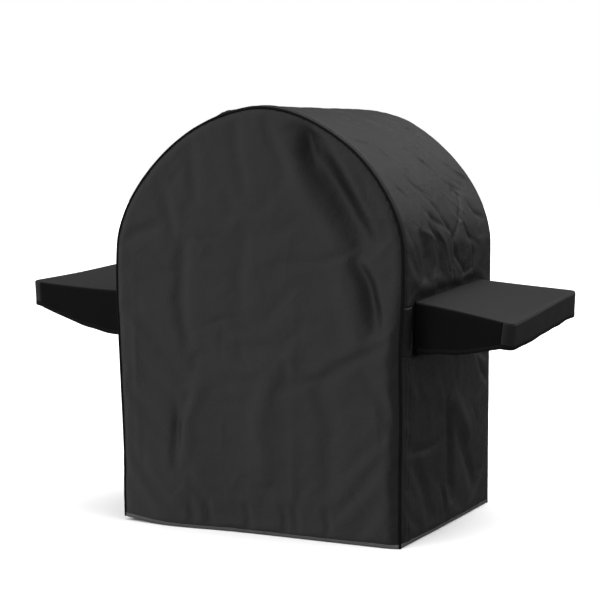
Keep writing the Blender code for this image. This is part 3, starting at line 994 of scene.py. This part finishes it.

# %% [markdown]
# The crown and the cheeks stay with the cover. A flap turns on the seam at the rear corner, and cloth doesn't turn
# on a pin: its last few centimetres bend. Here a flap, its hem tape and its stitches are only baked where they hang.

# %% Crown, cheeks and flaps
crown = piece_from(strip, "crown_strip", is_tape(strip, WHOLE, (CHEEK_END, STRIP_LENGTH - CHEEK_END)))
thicken(crown, CLOTH, crown_cloth, backing)
finish_sheet(crown, "cover", ["crown_panel"])
BEND = 0.066
hinge_bends = {
    side: ("cover", f"{side}_flap", (sign * SIDE_X, FACE_Y, FLAP_TOP / 2), (sign * SIDE_X, FACE_Y - BEND, FLAP_TOP / 2))
    for side, (sign, _) in WINGS.items()
}
for side in WINGS:
    for end, reach in (("front", (-1, 0)), ("rear", (0, 1))):
        cheek = piece_from(strip, f"{side}_{end}_cheek_cloth", is_tape(strip, reach, span(side, FLAP_LENGTH, CHEEK_END)))
        thicken(cheek, CLOTH, crown_cloth, backing)
        finish_sheet(cheek, "cover", [f"{side}_{end}_cheek"])
    flap = piece_from(strip, f"{side}_flap_cloth", is_tape(strip, WHOLE, span(side, 0, FLAP_LENGTH)))
    thicken(flap, CLOTH, black_cloth, backing)
    finish_sheet(
        flap, None, [f"{side}_side_flap"], bends=hinge_bends[side]
    )
    hem = bind_hem(
        strip, f"{side}_flap_hem_tape", is_tape(strip, WHOLE, span(side, 0, HEM_HEIGHT)), spans[side](0), grey_binding
    )
    finish_trim(hem, None, [f"{side}_flap_hem_binding"], hinge_bends[side])

# %% [markdown]
# What lies inside the side: the closure tapes and the facing behind the slit, and the tapes that seal the
# two long seams. They are copies of the cloth's own faces, moved in by the layers between, so they
# follow every fold and never poke through.

# %% Closure and seam tapes
CLOSURE = (-0.3467, -0.3217)
FACING_EDGE = -0.3017
TAPE = 0.0012
LAYER_GAP = 0.00015
SEAM_TAPE_WIDTH = 0.022
for side in WINGS:
    tape_faces = is_tape(strip, CLOSURE, span(side, 0.029, 0.523))
    depth = CLOTH / 2 + LAYER_GAP + TAPE / 2
    hook = thicken(piece_from(strip, f"{side}_hook_strip", tape_faces, -depth), TAPE, hook_and_loop)
    finish_trim(hook, f"{side}_flap", [f"{side}_hook_tape"])
    depth += TAPE + LAYER_GAP
    loop = thicken(piece_from(strip, f"{side}_loop_strip", tape_faces, -depth), TAPE, hook_and_loop)
    finish_trim(loop, "cover", [f"{side}_loop_tape"])
    depth += TAPE / 2 + LAYER_GAP + CLOTH / 2
    facing_faces = is_tape(strip, (-1, FACING_EDGE), span(side, 0, FLAP_LENGTH))
    facing = thicken(piece_from(strip, f"{side}_facing_cloth", facing_faces, -depth), CLOTH, black_cloth, backing)
    finish_sheet(facing, "cover", [f"{side}_flap_facing"])
for end, reach in (("front", (-1, SEAM_TAPE_WIDTH - FACE_Y)), ("rear", (FACE_Y - SEAM_TAPE_WIDTH, 1))):
    faces = is_tape(strip, reach, (CHEEK_END, STRIP_LENGTH - CHEEK_END))
    film = thicken(piece_from(strip, f"{end}_seal_film", faces, -CLOTH), 0.0005, seam_seal)
    finish_trim(film, "cover", [f"{end}_seam_tape"])
print("closure, facings and seam tapes follow the cloth")

# %% [markdown]
# Thread is thin, but a lockstitch every few millimetres is what makes an edge look sewn. Each stitch is a small bar
# laid on the cloth between two places of the flat pattern, so the rows follow the folds.

# %% Stitch helper
STITCH, STITCH_PITCH, THREAD = 0.0042, 0.0066, 0.0008


def on_cloth(cloth, places):
    """Where places of the flat pattern lie on the hanging cloth, and the normals there."""
    cut, points, normals = cut_of(cloth), points_of(cloth), normals_of(cloth)
    tree = KDTree(len(cut))
    for index, (across, along) in enumerate(cut):
        tree.insert((across, along, 0), index)
    tree.balance()
    spots, facing = [], []
    for across, along in places:
        near = tree.find_n((across, along, 0), 4)
        pull = np.array([1 / (gap + 1e-4) ** 2 for _, _, gap in near])
        picked = [index for _, index, _ in near]
        spots.append(pull @ points[picked] / pull.sum())
        facing.append(pull @ normals[picked])
    return spots, facing


def sew(name, cloth, rows, lift, body, bends=None):
    """Rows of stitches, each from one place of the pattern to another, lifted off the cloth's middle."""
    places = []
    for start, stop in rows:
        start, stop = np.array(start), np.array(stop)
        length = np.linalg.norm(stop - start)
        forward = (stop - start) / length
        for number in range(int(length / STITCH_PITCH)):
            head = start + forward * number * STITCH_PITCH
            places += [head, head + forward * STITCH]
    spots, facing = on_cloth(cloth, places)
    bm = bmesh.new()
    for head, tail, out in zip(spots[0::2], spots[1::2], facing[0::2]):
        along, up = Vector(tail - head), Vector(out).normalized()
        sideways = along.cross(up).normalized() * THREAD
        axes = Matrix((along, sideways, up * THREAD)).transposed().to_4x4()
        middle = Matrix.Translation(Vector((head + tail) / 2) + up * lift)
        bmesh.ops.create_cube(bm, size=1, matrix=middle @ axes)
    bmesh.ops.recalc_face_normals(bm, faces=bm.faces)
    stitches = object_from(bm, name)
    stitches.data.materials.append(black_piping)
    if bends:
        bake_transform(stitches)
    else:
        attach(stitches, body)
    print(name, len(places) // 2, "stitches")


# %% Sew the hems, the flaps and the long seams
HEM_ROW = HEM_HEIGHT - 0.0025
ON_TAPE = CLOTH + 0.0003
ON_CLOTH = CLOTH / 2 + 0.0002
for end, cloth in (("front", front_panel), ("rear", rear_panel)):
    row = ((-SIDE_X + 0.006, HEM_LIFT + HEM_ROW), (SIDE_X - 0.006, HEM_LIFT + HEM_ROW))
    sew(f"{end}_hem_stitches", cloth, [row], ON_TAPE, "cover")
    seam = FACE_Y - 0.011
    seam_y = -seam if end == "front" else seam
    long_row = ((seam_y, CHEEK_END), (seam_y, STRIP_LENGTH - CHEEK_END))
    sew(f"{end}_crown_topstitch", strip, [long_row], ON_CLOTH, "cover")
for side in WINGS:
    at = spans[side]
    low, top = at(0.030), at(FLAP_LENGTH - 0.008)
    closure_rows = [((y, low), (y, top)) for y in (CLOSURE[0] + 0.002, CLOSURE[1] - 0.002)]
    top_row = ((-FACE_Y + 0.010, top), (FACE_Y - 0.010, top))
    sew(f"{side}_flap_stitches", strip, [*closure_rows, top_row], ON_CLOTH, None, hinge_bends[side])
    hem_row = ((-FACE_Y + 0.006, at(HEM_ROW)), (FACE_Y - 0.006, at(HEM_ROW)))
    sew(f"{side}_flap_hem_stitches", strip, [hem_row], ON_TAPE, None, hinge_bends[side])
for pattern in (front_panel, rear_panel, strip):
    bpy.data.objects.remove(pattern)

# %% [markdown]
# ## Wings
# A wing is a shallow tray turned upside down: a top with rounded outer corners and a skirt on three sides. It is
# made as one shell, so that the rim is a soft roll with no crack, then cut into the pieces that are
# sewn together. The grid's square corners are pressed round by the map from a square to a quarter disc.

# %% Build a wing shell
SKIRT_ROWS = 6
HEM_TAPE = 0.014
TIP_SAG = {"right": 0.030, "left": -0.022}
REAR_LIFT = {"right": 0.0, "left": 0.052}
TIP_STRETCH = {"right": (-0.045, -0.028), "left": (0.029, 0.021)}
TOP_TAG, FRONT_TAG, END_TAG, REAR_TAG = range(4)


def round_corner(vert):
    """Presses one vertex of the square grid into the rounded plan."""
    reach = WING_LENGTH - WING_CORNER
    for edge, sign in ((WING_FRONT, -1), (WING_REAR, 1)):
        a, b = vert.co.x - reach, sign * vert.co.y - (edge - WING_CORNER)
        if a > 0 and b > 0:
            a_round = a * math.sqrt(1 - b * b / (2 * WING_CORNER**2))
            b_round = b * math.sqrt(1 - a * a / (2 * WING_CORNER**2))
            vert.co.x, vert.co.y = reach + a_round, sign * (edge - WING_CORNER + b_round)


def shape_wing(points, depths, side, seed):
    """Turns plan points and their skirt depths into the hanging wing, still in its own frame."""
    x, y = points[:, 0], points[:, 1]
    _, droop = WINGS[side]
    out = np.c_[x + depths * math.tan(droop) * (1 - x / WING_LENGTH), y, -depths]
    along = x / WING_LENGTH
    toward_front = ramp(-y, -WING_REAR, WING_FRONT)
    front_stretch, rear_stretch = TIP_STRETCH[side]
    out[:, 0] += (rear_stretch + (front_stretch - rear_stretch) * toward_front) * along
    out[:, 2] -= TIP_SAG[side] * along**1.5 * toward_front
    out[:, 2] += REAR_LIFT[side] * (1 - toward_front) * ramp(along, 0, 0.3) * (1 - 0.5 * along)
    wave = slow_noise(np.c_[x, y, np.zeros(len(x))], 16, seed)
    fall = np.clip(depths / WING_ROOT_DROP, 0, 1)
    out[:, 1] += 0.006 * wave[:, 1] * fall * ramp(along, 0, 0.15)
    out[:, 0] += 0.005 * wave[:, 0] * fall * ramp(along, 0.7, 1)
    out[:, 2] += 0.005 * wave[:, 2] * fall * ramp(along, 0, 0.1)
    middle = np.sin(np.pi * np.clip(along, 0, 1)) * np.cos(np.pi * np.clip(y / 0.6, -0.5, 0.5))
    out[:, 2] -= 0.004 * middle * (depths < 1e-6)
    return out


def build_wing(side, seed):
    """Grid for the top, skirts pulled down from its rim, faces tagged by the piece they belong to."""
    bm = bmesh.new()
    bmesh.ops.create_grid(bm, x_segments=30, y_segments=48, size=0.5)
    bmesh.ops.translate(bm, verts=bm.verts, vec=(0.5, 0, 0))
    bmesh.ops.scale(bm, verts=bm.verts, vec=(WING_LENGTH, WING_FRONT + WING_REAR, 1))
    bmesh.ops.translate(bm, verts=bm.verts, vec=(0, (WING_REAR - WING_FRONT) / 2, 0))
    for vert in bm.verts:
        round_corner(vert)
    depth_layer = bm.verts.layers.float.new("depth")
    rim = [e for e in bm.edges if e.is_boundary and max(v.co.x for v in e.verts) > 1e-5]
    for face in bm.faces:
        face.material_index = TOP_TAG
    for row in range(1, SKIRT_ROWS + 1):
        made = bmesh.ops.extrude_edge_only(bm, edges=rim)["geom"]
        rim = [g for g in made if isinstance(g, bmesh.types.BMEdge)]
        for vert in (g for g in made if isinstance(g, bmesh.types.BMVert)):
            full = float(wing_drop(min(vert.co.x, WING_LENGTH - WING_CORNER)))
            above = (full - HEM_TAPE) * row / (SKIRT_ROWS - 1)
            vert[depth_layer] = full if row == SKIRT_ROWS else above
        for face in (g for g in made if isinstance(g, bmesh.types.BMFace)):
            middle = face.calc_center_median()
            tip = middle.x > WING_LENGTH - WING_CORNER
            face.material_index = END_TAG if tip else FRONT_TAG if middle.y < 0 else REAR_TAG
    bm.verts.index_update()
    plan = np.array([v.co[:] for v in bm.verts])
    depths = np.array([v[depth_layer] for v in bm.verts])
    layer = bm.loops.layers.uv.new("cut")
    for face in bm.faces:
        for loop in face.loops:
            x, y = plan[loop.vert.index][:2]
            flat = (x, y) if face.material_index == TOP_TAG else (x + y, depths[loop.vert.index])
            loop[layer].uv = flat
    shaped = shape_wing(plan, depths, side, seed)
    shaped[:, 0] *= WINGS[side][0]
    for vert, place in zip(bm.verts, place_wing(shaped, side)):
        vert.co = place
    face_outwards(bm, Vector((0, 0, 1)))
    return object_from(bm, f"{side}_wing_shell")


wing_shells = {"right": build_wing("right", 41), "left": build_wing("left", 42)}
print("wing shells", [len(obj.data.polygons) for obj in wing_shells.values()])


def refine_shell(obj):
    smoother = obj.modifiers.new("finer", "SUBSURF")
    smoother.levels = smoother.render_levels = 1
    depsgraph = bpy.context.evaluated_depsgraph_get()
    mesh = bpy.data.meshes.new_from_object(obj.evaluated_get(depsgraph))
    obj.modifiers.clear()
    obj.data = mesh


for side, shell in wing_shells.items():
    refine_shell(shell)
    tags = np.array([polygon.material_index for polygon in shell.data.polygons])
    for polygon in shell.data.polygons:
        polygon.material_index = 0
    for tag, label in ((TOP_TAG, "top"), (FRONT_TAG, "front_skirt"), (END_TAG, "end_skirt"), (REAR_TAG, "rear_skirt")):
        # The front and rear skirts take the darker cloth, which is painted shade; the top and the end skirt take the
        # wing cloth.
        outside = painted_shade_skirt_cloth if tag in (FRONT_TAG, REAR_TAG) else wing_cloth
        sheet = thicken(piece_from(shell, f"{side}_wing_{label}_cloth", tags == tag), CLOTH, outside, backing)
        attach(sheet, "cover")
        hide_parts(f"{side}_wing_{label}")

# %% Wing trims
for side, shell in wing_shells.items():
    uv = cut_of(shell)
    rim = rim_of(shell)
    points = points_of(shell)
    sign = WINGS[side][0]
    hanging = [i for i in rim if uv[i][1] > WING_TIP_DROP * 0.8 and abs(points[i][0]) > WING_ROOT_X + 0.002]
    tree = KDTree(len(hanging))
    for i in hanging:
        tree.insert(points[i], i)
    tree.balance()
    low_faces = np.array([
        tree.find(polygon.center)[2] < 0.0125 and abs(polygon.normal.z) < 0.7 for polygon in shell.data.polygons
    ])
    tape = piece_from(shell, f"{side}_wing_hem_binding", low_faces, CLOTH / 2 + 0.0004)
    thicken(tape, 0.0008, black_binding)
    finish_trim(tape, "cover", [f"{side}_wing_hem_tape"])
    cord = make_cord(f"{side}_wing_seam_piping", wing_seams[side], WING_CORD, black_piping)
    finish_trim(cord, "cover", [f"{side}_wing_piping"])
    bpy.data.objects.remove(shell)
print("wings cut, bound and piped")

# %% [markdown]
# ## Light
# A dim sky with two soft bright patches, one low at the front left and one high behind on the right, lifts the arched
# panel and grazes the crown's right shoulder, so the side below stays the darkest plane. One wide sun from overhead
# lights the tops and the floor, and the camera sees a plain white background.

# %% Floor
bm = bmesh.new()
bmesh.ops.create_grid(bm, x_segments=1, y_segments=1, size=30)
floor = object_from(bm, "studio_floor")
pale = make_finish("pale_floor", (0.90, 0.90, 0.90), 0.9, 0.0)
floor.data.materials.append(pale)
floor.visible_glossy = False

# %% Sky
world = bpy.data.worlds.new("studio")
world.use_nodes = True
sky = world.node_tree
HORIZON = 0.14


def soft_panel(towards, start, strength, below):
    """A soft bright patch of sky in one direction, added to the strength below it."""
    spread = sky.nodes.new("ShaderNodeVectorMath")
    spread.operation = "DOT_PRODUCT"
    spread.inputs[1].default_value = Vector(towards).normalized()
    sky.links.new(spread.inputs[0], sky.nodes.new("ShaderNodeTexCoord").outputs["Generated"])
    patch = sky.nodes.new("ShaderNodeMapRange")
    patch.interpolation_type = "SMOOTHSTEP"
    patch.inputs["From Min"].default_value = start
    patch.inputs["To Max"].default_value = strength
    sky.links.new(patch.inputs["Value"], spread.outputs["Value"])
    total = sky.nodes.new("ShaderNodeMath")
    sky.links.new(total.inputs[0], patch.outputs[0])
    if below is None:
        total.inputs[1].default_value = HORIZON
    else:
        sky.links.new(total.inputs[1], below)
    return total.outputs[0]


back_panel = soft_panel((0.49, 0.46, 0.74), 0.62, 2.5, None)
left_panel = soft_panel((-0.60, -0.75, 0.15), 0.10, 2.0, back_panel)
lit = sky.nodes["Background"]
sky.links.new(lit.inputs["Strength"], left_panel)
lit.inputs["Color"].default_value = (1, 1, 1, 1)
seen = sky.nodes.new("ShaderNodeBackground")
seen.inputs["Strength"].default_value = 1.0
seen.inputs["Color"].default_value = (1, 1, 1, 1)
choose = sky.nodes.new("ShaderNodeMixShader")
sky.links.new(choose.inputs[0], sky.nodes.new("ShaderNodeLightPath").outputs["Is Camera Ray"])
sky.links.new(choose.inputs[1], lit.outputs[0])
sky.links.new(choose.inputs[2], seen.outputs[0])
sky.links.new(sky.nodes["World Output"].inputs["Surface"], choose.outputs[0])
bpy.context.scene.world = world
print("sky with two soft panels")


# %% Lamps
def add_sun(name, towards, strength, spread, colour):
    """A soft sun. towards is the direction from the object to the lamp."""
    data = bpy.data.lights.new(name, "SUN")
    data.energy = strength
    data.angle = math.radians(spread)
    data.color = colour
    lamp = bpy.data.objects.new(name, data)
    lamp.rotation_euler = Vector(towards).to_track_quat("Z", "Y").to_euler()
    bpy.context.scene.collection.objects.link(lamp)


add_sun("overhead", (0.05, 0.05, 1.0), 2.55, 80, (1, 1, 1))
print("lamps placed")
